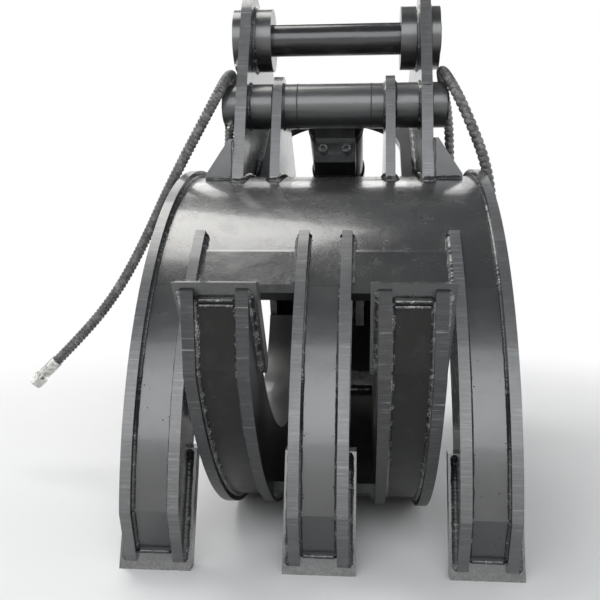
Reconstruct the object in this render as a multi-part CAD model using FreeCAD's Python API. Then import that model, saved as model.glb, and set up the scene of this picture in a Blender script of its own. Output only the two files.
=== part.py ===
"""Hydraulic log grapple for a 13 to 15 tonne excavator, standing on its tips.

The front jaw is one welded frame: two ears, two inner plates, a rolled shell
and three curved tines. The rear jaw has two tines that pass between the front
ones. It swings on two stub pins and is driven by one hydraulic cylinder.
Millimetres. X runs across the grapple, Y from the front tines to the ears'
rear, and Z up from the ground that the tips and the rear jaw stand on.
Points in the side view are written as (y, z) pairs.
"""
import FreeCAD
import Part
import math
import os

# Plates
ear_thickness = 21.0
inner_plate_thickness = 18.0
tine_plate_thickness = 16.0
shell_thickness = 14.0
grip_thickness = 12.0
tip_thickness = 23.0
arch_thickness = 16.0
gusset_thickness = 12.0
edge_height = 13.0

# Widths across the grapple
ear_inner = 167.0
inner_plate_inner = 100.0
tine_width = 85.0
front_pitch = 237.5
rear_pitch = 123.0
tip_overhang = 10.0

# Pins
stick_pin_diameter = 65.0
anchor_pin_diameter = 65.0
link_bore_diameter = 65.2
jaw_pin_diameter = 60.0
rod_pin_diameter = 60.0
rod_pin_neck_diameter = 46.0
running_clearance = 0.05
stick_gap = 263.0
pin_end_overhang = 4.0

# Bosses and sleeves
stick_boss_diameter = 127.0
stick_boss_length = 22.0
link_boss_diameter = 127.0
link_boss_length = 14.0
jaw_boss_diameter = 112.0
jaw_boss_length = 12.0
sleeve_diameter = 88.0
anchor_end_length = 30.0
washer_diameter = 100.0
side_clearance = 0.5

# Places of the pins in the side view: y, and the rise above the top of the front tines
stick_pin_y = 79.5
stick_pin_rise = 276.4
anchor_pin_y = -9.2
anchor_pin_rise = 126.9
link_pin_y = 416.2
link_pin_rise = 143.5
jaw_pin_y = 271.9
jaw_pin_rise = -99.5
rod_pin_y = 429.6
rod_pin_rise = -72.0

# Ears and inner plates
ear_foot_angle = 103.4
ear_kink_y = -73.0
ear_kink_rise = 155.0
ear_stick_radius = 92.0
ear_link_radius = 98.0
ear_jaw_radius = 85.0
inner_foot_angle = 102.45
inner_anchor_radius = 58.0
inner_jaw_radius = 74.0
arch_foot_y = 64.0
arch_foot_rise = -12.0
arch_slope = 33.05
arch_length = 300.0
arch_window_radius = 137.0
arch_window_rise = 265.0
gusset_y = -103.0
gusset_rise = 53.0
gusset_foot_width = 54.0
gusset_head_width = 9.0

# Front jaw
front_centre = (-4.0, 50.0)
front_radius = 558.0
front_root_y = 182.400978
front_knuckle_angle = 175.58
front_shell_end_angle = 139.5
front_proud_angle = 128.0
front_inner_centre = (-40.0, 20.0)
front_depth = 106.0
front_root_inner_angle = 60.0
front_tip_height = 166.0
front_tip_lean = 55.0
plate_end_height = 12.0
plate_end_depth = 3.0
lip_height = 16.0
lip_thickness = 20.0

# Rear jaw
rear_bottom_y = -130.0
rear_flat_length = 190.0
rear_front_radius = 590.0
rear_lobe_gap = 6.5
rear_knuckle_angle = 208.78
rear_shell_front_y = -390.0
rear_shell_back_angle = 10.0
rear_proud_y = -250.0
rear_depth = 118.0
rear_inner_end_angle = -20.0
rear_jaw_radius = 72.0
rear_rod_radius = 52.0
rear_tip = (-664.0, 426.0)
rear_tip_length = 175.0
rear_tip_slope = -49.0
stiffener_angle = -46.4
stiffener_width = 44.0
stiffener_height = 18.0
lug_inner = 40.0
lug_thickness = 20.0
lug_radius = 58.0
lug_low_angle = -20.0

# Cylinder
eye_tube_length = 144.0
neck_width = 80.0
neck_height = 72.0
neck_root_height = 92.0
barrel_diameter = 112.0
barrel_bore = 90.0
cap_start = 62.0
cap_thickness = 18.0
gland_start = 254.0
gland_length = 22.0
gland_diameter = 120.0
rod_diameter = 55.0
piston_thickness = 25.0
piston_gap = 9.0
piston_clearance = 0.05
rod_eye_diameter = 120.0
rod_eye_bore = 70.0
rod_eye_width = 70.0
block_start = 50.0
block_length = 56.0
block_drop = 98.0
block_width = 84.0
block_bolt_pitch = 47.0
block_bolt_head = 18.0
block_bolt_hole = 10.0
block_bolt_edge = 26.0
bolt_head_length = 12.0

# Hydraulic lines
hose_diameter = 21.0
ferrule_diameter = 24.0
ferrule_length = 38.0
nut_size = 27.0
nut_length = 20.0
nut_bore = 11.0
stem_diameter = 14.0
bulkhead_y = 190.0
bulkhead_rise = -8.0
bulkhead_size = 30.0
hose_stand_off = 60.0
jumper_diameter = 18.0
jumper_gap = 1.0
tunnel_clearance = 3.0
nipple_diameter = 12.0

# Places and widths that follow from the ones above
front_top = front_centre[1] + front_radius
front_root_angle = math.degrees(math.acos((front_root_y - front_centre[0]) / (front_radius - edge_height)))
front_inner_radius = front_radius - front_depth
stick_pin = (stick_pin_y, front_top + stick_pin_rise)
anchor_pin = (anchor_pin_y, front_top + anchor_pin_rise)
link_pin = (link_pin_y, front_top + link_pin_rise)
jaw_pin = (jaw_pin_y, front_top + jaw_pin_rise)
rod_pin = (rod_pin_y, front_top + rod_pin_rise)
ear_kink = (ear_kink_y, front_top + ear_kink_rise)
arch_foot = (arch_foot_y, front_top + arch_foot_rise)
bulkhead_point = (bulkhead_y, front_top + bulkhead_rise)
ear_outer = ear_inner + ear_thickness
inner_plate_outer = inner_plate_inner + inner_plate_thickness
outer_tine_inner = front_pitch - tine_width / 2
outer_tine_outer = front_pitch + tine_width / 2
rear_tine_inner = rear_pitch - tine_width / 2
rear_tine_outer = rear_pitch + tine_width / 2
shell_radius = front_radius - edge_height
shell_inner_radius = shell_radius - shell_thickness
rear_shell_front_radius = rear_front_radius - edge_height
sides = (("left", -1.0), ("right", 1.0))
far = 2.0 * (front_radius + rear_front_radius)

# The rear shell bends up behind its flat and just clears the inner plates' round ends
lobe_reach = edge_height + shell_thickness + inner_jaw_radius + rear_lobe_gap
lobe_run = jaw_pin[0] - rear_bottom_y - rear_flat_length
rear_back_radius = (lobe_run ** 2 + jaw_pin[1] ** 2 - lobe_reach ** 2) / (2.0 * (jaw_pin[1] - lobe_reach))
rear_inner_back_radius = rear_back_radius - rear_depth
rear_shell_back_radius = rear_back_radius - edge_height


def point_at(centre, radius, degrees):
    """Point on a circle in the side view."""
    angle = math.radians(degrees)
    return (centre[0] + radius * math.cos(angle), centre[1] + radius * math.sin(angle))


def shift(point, direction, distance):
    """Point moved along a unit direction."""
    return (point[0] + direction[0] * distance, point[1] + direction[1] * distance)


def unit(start, end):
    """Unit direction from one point to another."""
    length = math.hypot(end[0] - start[0], end[1] - start[1])
    return ((end[0] - start[0]) / length, (end[1] - start[1]) / length)


def tangent_points(first, first_radius, second, second_radius):
    """Touching points of the line that runs on the left of two circles."""
    along = unit(first, second)
    length = math.hypot(second[0] - first[0], second[1] - first[1])
    share = (first_radius - second_radius) / length
    across = math.sqrt(1.0 - share * share)
    normal = (along[0] * share - along[1] * across, along[1] * share + along[0] * across)
    return shift(first, normal, first_radius), shift(second, normal, second_radius)


def turn_middle(centre, radius, arrive, leave):
    """Middle point of the clockwise arc from one point to another."""
    start = math.atan2(arrive[1] - centre[1], arrive[0] - centre[0])
    end = math.atan2(leave[1] - centre[1], leave[0] - centre[0])
    sweep = (start - end) % (2.0 * math.pi)
    middle = start - sweep / 2.0
    return (centre[0] + radius * math.cos(middle), centre[1] + radius * math.sin(middle))


def outline(corners):
    """Closed clockwise outline in the side view.

    A corner is (point, radius) or (point, 0, through), where through is a
    point that the arc to the next corner passes.
    """
    count = len(corners)
    leaves = []
    arrives = [None] * count
    for index in range(count):
        here = corners[index]
        there = corners[(index + 1) % count]
        if len(here) == 3:
            leave, arrive = here[0], there[0]
        else:
            leave, arrive = tangent_points(here[0], here[1], there[0], there[1])
        leaves.append(leave)
        arrives[(index + 1) % count] = arrive
    edges = []
    for index in range(count):
        here = corners[index]
        if here[1] > 0.0:
            middle = turn_middle(here[0], here[1], arrives[index], leaves[index])
            edges.append(arc_edge(arrives[index], middle, leaves[index]))
        if len(here) == 3:
            edges.append(arc_edge(leaves[index], here[2], arrives[(index + 1) % count]))
        else:
            edges.append(line_edge(leaves[index], arrives[(index + 1) % count]))
    return Part.Face(Part.Wire(edges))


def line_edge(start, end):
    """Straight edge in the side view."""
    return Part.makeLine(FreeCAD.Vector(0, start[0], start[1]), FreeCAD.Vector(0, end[0], end[1]))


def arc_edge(start, middle, end):
    """Arc edge in the side view."""
    points = [FreeCAD.Vector(0, point[0], point[1]) for point in (start, middle, end)]
    return Part.Arc(points[0], points[1], points[2]).toShape()


def across(face, low, high):
    """Solid between two widths from an outline in the side view."""
    moved = face.copy()
    moved.translate(FreeCAD.Vector(low, 0, 0))
    return moved.extrude(FreeCAD.Vector(high - low, 0, 0))


def pair(face, low, high, side):
    """Solid on one side of the middle plane."""
    if side > 0:
        return across(face, low, high)
    return across(face, -high, -low)


def rod_across(centre, diameter, low, high):
    """Round bar across the grapple."""
    start = FreeCAD.Vector(low, centre[0], centre[1])
    return Part.makeCylinder(diameter / 2.0, high - low, start, FreeCAD.Vector(1, 0, 0))


def ring_across(centre, outer, inner, low, high):
    """Tube across the grapple."""
    return rod_across(centre, outer, low, high).cut(rod_across(centre, inner, low - 1, high + 1))


def ring_pair(centre, outer, inner, low, high, side):
    """Tube across the grapple on one side of the middle plane."""
    if side > 0:
        return ring_across(centre, outer, inner, low, high)
    return ring_across(centre, outer, inner, -high, -low)


def arc_middle(centre, radius, start, end):
    """Point half way round an arc between two angles."""
    return point_at(centre, radius, (start + end) / 2.0)


def bent_strip(centre, outer_radius, inner_radius, start, end):
    """Outline of a rolled plate between two angles, start above end."""
    outer_start = point_at(centre, outer_radius, start)
    outer_end = point_at(centre, outer_radius, end)
    inner_start = point_at(centre, inner_radius, start)
    inner_end = point_at(centre, inner_radius, end)
    return outline([
        (outer_start, 0, arc_middle(centre, outer_radius, start, end)),
        (outer_end, 0),
        (inner_end, 0, arc_middle(centre, inner_radius, start, end)),
        (inner_start, 0),
    ])


def angle_of(centre, point):
    """Angle of a point about a centre, in degrees from 0 to 360."""
    return math.degrees(math.atan2(point[1] - centre[1], point[0] - centre[0])) % 360.0


def height_on(centre, radius, height):
    """Front point of a circle at a height."""
    return (centre[0] - math.sqrt(radius ** 2 - (height - centre[1]) ** 2), height)


def crossing(first, first_way, second, second_way):
    """Crossing point of two lines given by a point and a direction."""
    cross = first_way[0] * second_way[1] - first_way[1] * second_way[0]
    gap = (second[0] - first[0], second[1] - first[1])
    distance = (gap[0] * second_way[1] - gap[1] * second_way[0]) / cross
    return shift(first, first_way, distance)


def flat_at_bottom(point, bottom):
    """Centre and radius of the arc from a point that is level at the bottom."""
    run = point[0] - bottom[0]
    rise = point[1] - bottom[1]
    radius = (run * run + rise * rise) / (2.0 * rise)
    return (bottom[0], bottom[1] + radius), radius


nodes = {}

# Front tines
front_plate_start = height_on(front_inner_centre, front_inner_radius, front_tip_height)
grip_start = height_on(front_inner_centre, front_inner_radius - grip_thickness, front_tip_height)
front_tip_head = (grip_start[0] - tip_thickness, front_tip_height)
front_tip = (front_tip_head[0] - front_tip_lean, 0.0)
front_knuckle = point_at(front_centre, front_radius, front_knuckle_angle)
front_tip_way = unit(front_tip, front_tip_head)
front_tip_normal = (-front_tip_way[1], front_tip_way[0])
front_plate_foot = shift(front_tip, front_tip_way, plate_end_height)
front_plate_end = shift(front_plate_foot, front_tip_normal, plate_end_depth)
front_bevel_way = unit(front_knuckle, front_plate_end)
front_root_out = point_at(front_centre, front_radius, front_root_angle)
front_root_in = point_at(front_inner_centre, front_inner_radius, front_root_inner_angle)
front_inner_low_angle = angle_of(front_inner_centre, front_plate_start)
front_outer_middle = arc_middle(front_centre, front_radius, front_knuckle_angle, front_root_angle)
front_inner_middle = arc_middle(
    front_inner_centre, front_inner_radius, front_inner_low_angle, front_root_inner_angle)

outer_tine_face = outline([
    (front_plate_foot, 0),
    (front_plate_end, 0),
    (front_knuckle, 0, front_outer_middle),
    (front_root_out, 0),
    (front_root_in, 0, front_inner_middle),
    (front_plate_start, 0),
    (front_tip_head, 0),
])

front_step_out = point_at(front_centre, front_radius, front_proud_angle)
front_step_in = point_at(front_centre, shell_inner_radius, front_proud_angle - 1.5)
front_under_end = point_at(front_centre, shell_inner_radius, front_root_angle)
inner_tine_face = outline([
    (front_plate_foot, 0),
    (front_plate_end, 0),
    (front_knuckle, 0, arc_middle(front_centre, front_radius, front_knuckle_angle, front_proud_angle)),
    (front_step_out, 0),
    (front_step_in, 0, arc_middle(front_centre, shell_inner_radius, front_proud_angle - 1.5, front_root_angle)),
    (front_under_end, 0),
    (front_root_in, 0, front_inner_middle),
    (front_plate_start, 0),
    (front_tip_head, 0),
])

tip_base = (front_tip[0] + tip_thickness, front_tip[1])
front_tip_face = outline([(front_tip, 0), (front_tip_head, 0), (grip_start, 0), (tip_base, 0)])

web_knuckle = point_at(front_centre, shell_radius, front_knuckle_angle)
web_back = point_at(front_centre, shell_inner_radius, front_knuckle_angle)
web_end = crossing(web_knuckle, front_bevel_way, front_tip, front_tip_way)
web_back_end = crossing(web_back, front_bevel_way, front_tip, front_tip_way)
web_top = point_at(front_centre, shell_radius, front_shell_end_angle)
web_back_top = point_at(front_centre, shell_inner_radius, front_shell_end_angle)
front_web_face = outline([
    (web_end, 0),
    (web_knuckle, 0, arc_middle(front_centre, shell_radius, front_knuckle_angle, front_shell_end_angle)),
    (web_top, 0),
    (web_back_top, 0, arc_middle(front_centre, shell_inner_radius, front_knuckle_angle, front_shell_end_angle)),
    (web_back, 0),
    (web_back_end, 0),
])

grip_low_angle = angle_of(front_inner_centre, grip_start)
front_grip_face = outline([
    (grip_start, 0),
    (front_plate_start, 0, front_inner_middle),
    (front_root_in, 0),
    (point_at(front_inner_centre, front_inner_radius - grip_thickness, front_root_inner_angle), 0,
     arc_middle(front_inner_centre, front_inner_radius - grip_thickness, grip_low_angle, front_root_inner_angle)),
])

for name, centre_x in (("left", -front_pitch), ("centre", 0.0), ("right", front_pitch)):
    low = centre_x - tine_width / 2.0
    high = centre_x + tine_width / 2.0
    low_face = outer_tine_face if name == "left" else inner_tine_face
    high_face = outer_tine_face if name == "right" else inner_tine_face
    nodes["front_side_plates_" + name] = Part.makeCompound([
        across(low_face, low, low + tine_plate_thickness),
        across(high_face, high - tine_plate_thickness, high),
    ])
    nodes["front_web_" + name] = across(
        front_web_face, low + tine_plate_thickness, high - tine_plate_thickness)
    nodes["front_grip_plate_" + name] = across(front_grip_face, low, high)
    nodes["front_tip_plate_" + name] = across(front_tip_face, low - tip_overhang, high + tip_overhang)

# Front shell between the outermost side plates
shell_half_width = outer_tine_outer - tine_plate_thickness
front_shell = across(
    bent_strip(front_centre, shell_radius, shell_inner_radius, front_shell_end_angle, front_root_angle),
    -shell_half_width, shell_half_width)
slot_face = outline([
    (point_at(front_centre, front_radius, front_shell_end_angle + 2.0), 0,
     arc_middle(front_centre, front_radius, front_shell_end_angle + 2.0, front_proud_angle)),
    (front_step_out, 0),
    (front_step_in, 0,
     arc_middle(front_centre, shell_inner_radius, front_shell_end_angle + 2.0, front_proud_angle - 1.5)),
    (point_at(front_centre, shell_inner_radius, front_shell_end_angle + 2.0), 0),
])
for centre_x in (-front_pitch, 0.0, front_pitch):
    low = centre_x - tine_width / 2.0
    high = centre_x + tine_width / 2.0
    if centre_x > -1.0:
        front_shell = front_shell.cut(across(slot_face, low, low + tine_plate_thickness))
    if centre_x < 1.0:
        front_shell = front_shell.cut(across(slot_face, high - tine_plate_thickness, high))
nodes["front_shell"] = front_shell

lip_angle = math.degrees(lip_height / shell_radius)
lip_face = bent_strip(
    front_centre, shell_inner_radius + lip_thickness, shell_inner_radius,
    front_shell_end_angle + lip_angle, front_shell_end_angle)
nodes["front_lip_bars"] = Part.makeCompound([
    across(lip_face, -outer_tine_inner, -tine_width / 2.0),
    across(lip_face, tine_width / 2.0, outer_tine_inner),
])

# Ears
shell_middle_angle = (ear_foot_angle + front_root_angle) / 2.0
ear_foot = point_at(front_centre, shell_radius, ear_foot_angle)
shell_back = point_at(front_centre, shell_radius, front_root_angle)
ear_face = outline([
    (ear_foot, 0),
    (ear_kink, 0),
    (stick_pin, ear_stick_radius),
    (link_pin, ear_link_radius),
    (jaw_pin, ear_jaw_radius),
    (shell_back, 0, point_at(front_centre, shell_radius, shell_middle_angle)),
])
inner_foot = point_at(front_centre, shell_radius, inner_foot_angle)
inner_middle_angle = (inner_foot_angle + front_root_angle) / 2.0
inner_face = outline([
    (inner_foot, 0),
    (anchor_pin, inner_anchor_radius),
    (jaw_pin, inner_jaw_radius),
    (shell_back, 0, point_at(front_centre, shell_radius, inner_middle_angle)),
])
for name, side in sides:
    ear = pair(ear_face, ear_inner, ear_outer, side)
    for centre, diameter in (
            (stick_pin, stick_pin_diameter),
            (anchor_pin, anchor_pin_diameter),
            (link_pin, link_bore_diameter),
            (jaw_pin, jaw_pin_diameter)):
        ear = ear.cut(rod_across(centre, diameter, -far, far))
    nodes["ear_" + name] = ear
    inner = pair(inner_face, inner_plate_inner, inner_plate_outer, side)
    for centre, diameter in ((anchor_pin, anchor_pin_diameter), (jaw_pin, jaw_pin_diameter)):
        inner = inner.cut(rod_across(centre, diameter, -far, far))
    nodes["inner_plate_" + name] = inner

stick_inner = stick_gap / 2.0
for name, side in sides:
    nodes["stick_bosses_" + name] = Part.makeCompound([
        ring_pair(stick_pin, stick_boss_diameter, stick_pin_diameter, stick_inner, ear_inner, side),
        ring_pair(stick_pin, stick_boss_diameter, stick_pin_diameter, ear_outer, ear_outer + stick_boss_length, side),
    ])
    nodes["link_boss_" + name] = ring_pair(
        link_pin, link_boss_diameter, link_bore_diameter, ear_outer, ear_outer + link_boss_length, side)
    nodes["jaw_boss_" + name] = ring_pair(
        jaw_pin, jaw_boss_diameter, jaw_pin_diameter, ear_outer, ear_outer + jaw_boss_length, side)
    nodes["anchor_sleeves_" + name] = Part.makeCompound([
        ring_pair(anchor_pin, sleeve_diameter, anchor_pin_diameter, inner_plate_outer, ear_inner, side),
        ring_pair(anchor_pin, sleeve_diameter, anchor_pin_diameter, ear_outer, ear_outer + anchor_end_length, side),
        ring_pair(anchor_pin, sleeve_diameter, anchor_pin_diameter,
                  eye_tube_length / 2.0 + side_clearance, inner_plate_inner, side),
    ])

stick_pin_end = ear_outer + stick_boss_length + pin_end_overhang
nodes["stick_pin"] = rod_across(stick_pin, stick_pin_diameter, -stick_pin_end, stick_pin_end)
anchor_pin_end = ear_outer + anchor_end_length + pin_end_overhang
nodes["anchor_pin"] = rod_across(anchor_pin, anchor_pin_diameter, -anchor_pin_end, anchor_pin_end)
jaw_pin_start = rear_tine_inner - pin_end_overhang
jaw_pin_end = ear_outer + jaw_boss_length + pin_end_overhang
for name, side in sides:
    if side > 0:
        nodes["jaw_pin_" + name] = rod_across(jaw_pin, jaw_pin_diameter, jaw_pin_start, jaw_pin_end)
    else:
        nodes["jaw_pin_" + name] = rod_across(jaw_pin, jaw_pin_diameter, -jaw_pin_end, -jaw_pin_start)

# Arch plate between the ears, with a round-topped window
arch_way = (math.cos(math.radians(arch_slope)), math.sin(math.radians(arch_slope)))
arch_normal = (-arch_way[1], arch_way[0])
arch_head = shift(arch_foot, arch_way, arch_length)
arch_under = 2.5 * arch_thickness
arch_start = shift(arch_foot, arch_way, -arch_under)
arch_face = outline([
    (shift(arch_start, arch_normal, -arch_thickness / 2.0), 0),
    (shift(arch_start, arch_normal, arch_thickness / 2.0), 0),
    (shift(arch_head, arch_normal, arch_thickness / 2.0), 0),
    (shift(arch_head, arch_normal, -arch_thickness / 2.0), 0),
])
arch = across(arch_face, -ear_inner, ear_inner)
below_shell = rod_across(front_centre, 2.0 * shell_radius, -far, far)
arch = arch.cut(below_shell)
window_centre = shift(arch_start, arch_way, arch_under + arch_window_rise - arch_window_radius)
window_axis = FreeCAD.Vector(0, arch_normal[0], arch_normal[1])
window_base = FreeCAD.Vector(0, window_centre[0], window_centre[1]) - window_axis * arch_thickness
arch = arch.cut(Part.makeCylinder(arch_window_radius, 2.0 * arch_thickness, window_base, window_axis))
window_low = shift(window_centre, arch_way, -arch_length)
window_face = outline([
    (shift(window_low, arch_normal, -arch_thickness), 0),
    (shift(window_low, arch_normal, arch_thickness), 0),
    (shift(window_centre, arch_normal, arch_thickness), 0),
    (shift(window_centre, arch_normal, -arch_thickness), 0),
])
arch = arch.cut(across(window_face, -arch_window_radius, arch_window_radius))
nodes["arch_plate"] = arch

# Gussets outside the ears
for name, side in sides:
    foot_z = front_centre[1] + math.sqrt(shell_inner_radius ** 2 - gusset_y ** 2)
    gusset_top = front_top + gusset_rise
    points = [
        (ear_outer, foot_z), (ear_outer, gusset_top), (ear_outer + gusset_head_width, gusset_top),
        (ear_outer + gusset_foot_width, foot_z + shell_thickness + gusset_head_width),
        (ear_outer + gusset_foot_width, foot_z),
    ]
    vectors = [FreeCAD.Vector(side * x, gusset_y - gusset_thickness / 2.0, z) for x, z in points]
    wire = Part.makePolygon(vectors + [vectors[0]])
    gusset = Part.Face(wire).extrude(FreeCAD.Vector(0, gusset_thickness, 0))
    nodes["gusset_" + name] = gusset.cut(below_shell)

# Rear jaw
rear_front_centre = (rear_bottom_y, rear_front_radius)
rear_flat_end_y = rear_bottom_y + rear_flat_length
rear_back_centre = (rear_flat_end_y, rear_back_radius)
rear_bottom = (rear_bottom_y, 0.0)
rear_flat_end = (rear_flat_end_y, 0.0)
rear_knuckle = point_at(rear_front_centre, rear_front_radius, rear_knuckle_angle)
slope = math.radians(rear_tip_slope)
rear_tip_way = (math.cos(slope), math.sin(slope))
rear_tip_normal = (-rear_tip_way[1], rear_tip_way[0])
rear_tip_foot = shift(rear_tip, rear_tip_way, rear_tip_length)
rear_plate_foot = shift(rear_tip, rear_tip_way, plate_end_height)
rear_plate_end = shift(rear_plate_foot, rear_tip_normal, -plate_end_depth)
rear_bevel_way = unit(rear_knuckle, rear_plate_end)
rear_plate_start = shift(rear_tip_foot, rear_tip_normal, tip_thickness - grip_thickness)
rear_grip_start = shift(rear_tip_foot, rear_tip_normal, tip_thickness)
rear_inner_bottom = (rear_bottom_y, rear_depth)
rear_inner_flat_end = (rear_flat_end_y, rear_depth)
rear_inner_centre, rear_inner_radius = flat_at_bottom(rear_plate_start, rear_inner_bottom)
rear_start_angle = angle_of(rear_inner_centre, rear_plate_start)
rear_inner_back_centre = rear_back_centre
rear_inner_end = point_at(rear_inner_back_centre, rear_inner_back_radius, rear_inner_end_angle)
rear_inner_front_middle = arc_middle(rear_inner_centre, rear_inner_radius, rear_start_angle, 270.0)
rear_inner_back_middle = arc_middle(
    rear_inner_back_centre, rear_inner_back_radius, 270.0, 360.0 + rear_inner_end_angle)
rear_outer_end = point_at(rear_back_centre, rear_back_radius, rear_shell_back_angle)
rear_outer_back_middle = arc_middle(rear_back_centre, rear_back_radius, 270.0, 360.0 + rear_shell_back_angle)
rear_outer_front_middle = arc_middle(rear_front_centre, rear_front_radius, 270.0, rear_knuckle_angle)

rear_side_face = outline([
    (rear_plate_foot, 0),
    (rear_tip_foot, 0),
    (rear_plate_start, 0, rear_inner_front_middle),
    (rear_inner_bottom, 0),
    (rear_inner_flat_end, 0, rear_inner_back_middle),
    (rear_inner_end, 0),
    (jaw_pin, rear_jaw_radius),
    (rod_pin, rear_rod_radius),
    (rear_outer_end, 0, rear_outer_back_middle),
    (rear_flat_end, 0),
    (rear_bottom, 0, rear_outer_front_middle),
    (rear_knuckle, 0),
    (rear_plate_end, 0),
])

rear_tip_face = outline([
    (rear_tip, 0),
    (crossing(rear_grip_start, rear_tip_way, rear_tip, (1.0, 0.0)), 0),
    (rear_grip_start, 0),
    (rear_tip_foot, 0),
])

rear_grip_centre, rear_grip_radius = flat_at_bottom(rear_grip_start, (rear_bottom_y, rear_depth + grip_thickness))
rear_grip_angle = angle_of(rear_grip_centre, rear_grip_start)
grip_end_outer = point_at(rear_inner_back_centre, rear_inner_back_radius - grip_thickness, rear_inner_end_angle)
rear_grip_face = outline([
    (rear_plate_start, 0),
    (rear_grip_start, 0, arc_middle(rear_grip_centre, rear_grip_radius, rear_grip_angle, 270.0)),
    ((rear_bottom_y, rear_depth + grip_thickness), 0),
    ((rear_flat_end_y, rear_depth + grip_thickness), 0,
     arc_middle(rear_inner_back_centre, rear_inner_back_radius - grip_thickness,
                270.0, 360.0 + rear_inner_end_angle)),
    (grip_end_outer, 0),
    (rear_inner_end, 0, rear_inner_back_middle),
    (rear_inner_flat_end, 0),
    (rear_inner_bottom, 0, rear_inner_front_middle),
])


def rear_shell_point(y, inward):
    """Point on the front half of the rear shell, some way in from its skin."""
    radius = rear_shell_front_radius - inward
    return (y, rear_front_centre[1] - math.sqrt(radius ** 2 - (y - rear_front_centre[0]) ** 2))


rear_shell_front_angle = angle_of(rear_front_centre, rear_shell_point(rear_shell_front_y, 0.0))
rear_shell_front = point_at(rear_front_centre, rear_shell_front_radius, rear_shell_front_angle)
rear_shell_front_in = point_at(
    rear_front_centre, rear_shell_front_radius - shell_thickness, rear_shell_front_angle)
rear_shell_end = point_at(rear_back_centre, rear_shell_back_radius, rear_shell_back_angle)
rear_shell_end_in = point_at(
    rear_back_centre, rear_shell_back_radius - shell_thickness, rear_shell_back_angle)
rear_skin_bottom = (rear_bottom_y, edge_height)
rear_skin_bottom_in = (rear_bottom_y, edge_height + shell_thickness)
rear_skin_flat_end = (rear_flat_end_y, edge_height)
rear_skin_flat_end_in = (rear_flat_end_y, edge_height + shell_thickness)
rear_shell_face = outline([
    (rear_shell_front, 0),
    (rear_shell_front_in, 0, arc_middle(
        rear_front_centre, rear_shell_front_radius - shell_thickness, rear_shell_front_angle, 270.0)),
    (rear_skin_bottom_in, 0),
    (rear_skin_flat_end_in, 0, arc_middle(
        rear_back_centre, rear_shell_back_radius - shell_thickness, 270.0, 360.0 + rear_shell_back_angle)),
    (rear_shell_end_in, 0),
    (rear_shell_end, 0, arc_middle(
        rear_back_centre, rear_shell_back_radius, 270.0, 360.0 + rear_shell_back_angle)),
    (rear_skin_flat_end, 0),
    (rear_skin_bottom, 0, arc_middle(
        rear_front_centre, rear_shell_front_radius, rear_shell_front_angle, 270.0)),
])

rear_web_knuckle_way = unit(rear_front_centre, rear_knuckle)
rear_web_knuckle = shift(rear_knuckle, rear_web_knuckle_way, -edge_height)
rear_web_back = shift(rear_knuckle, rear_web_knuckle_way, -edge_height - shell_thickness)
rear_web_end = crossing(rear_web_knuckle, rear_bevel_way, rear_tip, rear_tip_way)
rear_web_back_end = crossing(rear_web_back, rear_bevel_way, rear_tip, rear_tip_way)
rear_web_face = outline([
    (rear_web_end, 0),
    (rear_web_back_end, 0),
    (rear_web_back, 0, arc_middle(
        rear_front_centre, rear_shell_front_radius - shell_thickness,
        rear_knuckle_angle, rear_shell_front_angle)),
    (rear_shell_front_in, 0),
    (rear_shell_front, 0, arc_middle(
        rear_front_centre, rear_shell_front_radius, rear_knuckle_angle, rear_shell_front_angle)),
    (rear_web_knuckle, 0),
])

rear_bore = jaw_pin_diameter + 2.0 * running_clearance
rear_shell_half = rear_tine_outer - tine_plate_thickness
rear_shell = across(rear_shell_face, -rear_shell_half, rear_shell_half)
cover_out = rear_back_radius / 4.0
far_back = rear_flat_end_y + 2.0 * rear_back_radius
cover_front_in = rear_shell_point(rear_proud_y, shell_thickness)
cover_front_out = (rear_proud_y, -cover_out)
cover_face = outline([
    (cover_front_in, 0, arc_middle(
        rear_front_centre, rear_shell_front_radius - shell_thickness,
        angle_of(rear_front_centre, cover_front_in), 270.0)),
    (rear_skin_bottom_in, 0),
    (rear_skin_flat_end_in, 0, arc_middle(
        rear_back_centre, rear_shell_back_radius - shell_thickness, 270.0, 360.0 + rear_shell_back_angle)),
    (rear_shell_end_in, 0),
    (point_at(rear_back_centre, rear_back_radius + cover_out, rear_shell_back_angle), 0),
    ((far_back, -cover_out), 0),
    (cover_front_out, 0),
])
for name, side in sides:
    plates = []
    for low in (rear_tine_inner, rear_tine_outer - tine_plate_thickness):
        plate = pair(rear_side_face, low, low + tine_plate_thickness, side)
        plate = plate.cut(rod_across(jaw_pin, rear_bore, -far, far))
        plates.append(plate)
    inner = plates[0].cut(pair(cover_face, rear_tine_inner - 1.0, rear_tine_inner + tine_plate_thickness + 1.0, side))
    inner = inner.cut(rod_across(rod_pin, rod_pin_diameter, -far, far))
    outer = plates[1].cut(rod_across(rod_pin, rod_pin_diameter, -far, far))
    rear_shell = rear_shell.cut(inner)
    nodes["rear_inner_side_plate_" + name] = inner
    nodes["rear_outer_side_plate_" + name] = outer
    nodes["rear_web_" + name] = pair(
        rear_web_face, rear_tine_inner + tine_plate_thickness, rear_tine_outer - tine_plate_thickness, side)
    nodes["rear_grip_plate_" + name] = pair(rear_grip_face, rear_tine_inner, rear_tine_outer, side)
    nodes["rear_tip_plate_" + name] = pair(
        rear_tip_face, rear_tine_inner - tip_overhang, rear_tine_outer + tip_overhang, side)
nodes["rear_shell"] = rear_shell

# Bar across the inside of the rear shell, between the two tines
bar_radius = rear_shell_back_radius - shell_thickness
bar_half_angle = math.degrees(stiffener_width / 2.0 / bar_radius)
bar_face = bent_strip(
    rear_back_centre, bar_radius, bar_radius - stiffener_height,
    stiffener_angle + bar_half_angle, stiffener_angle - bar_half_angle)
nodes["stiffener_bar"] = across(bar_face, -rear_tine_inner, rear_tine_inner)

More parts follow.
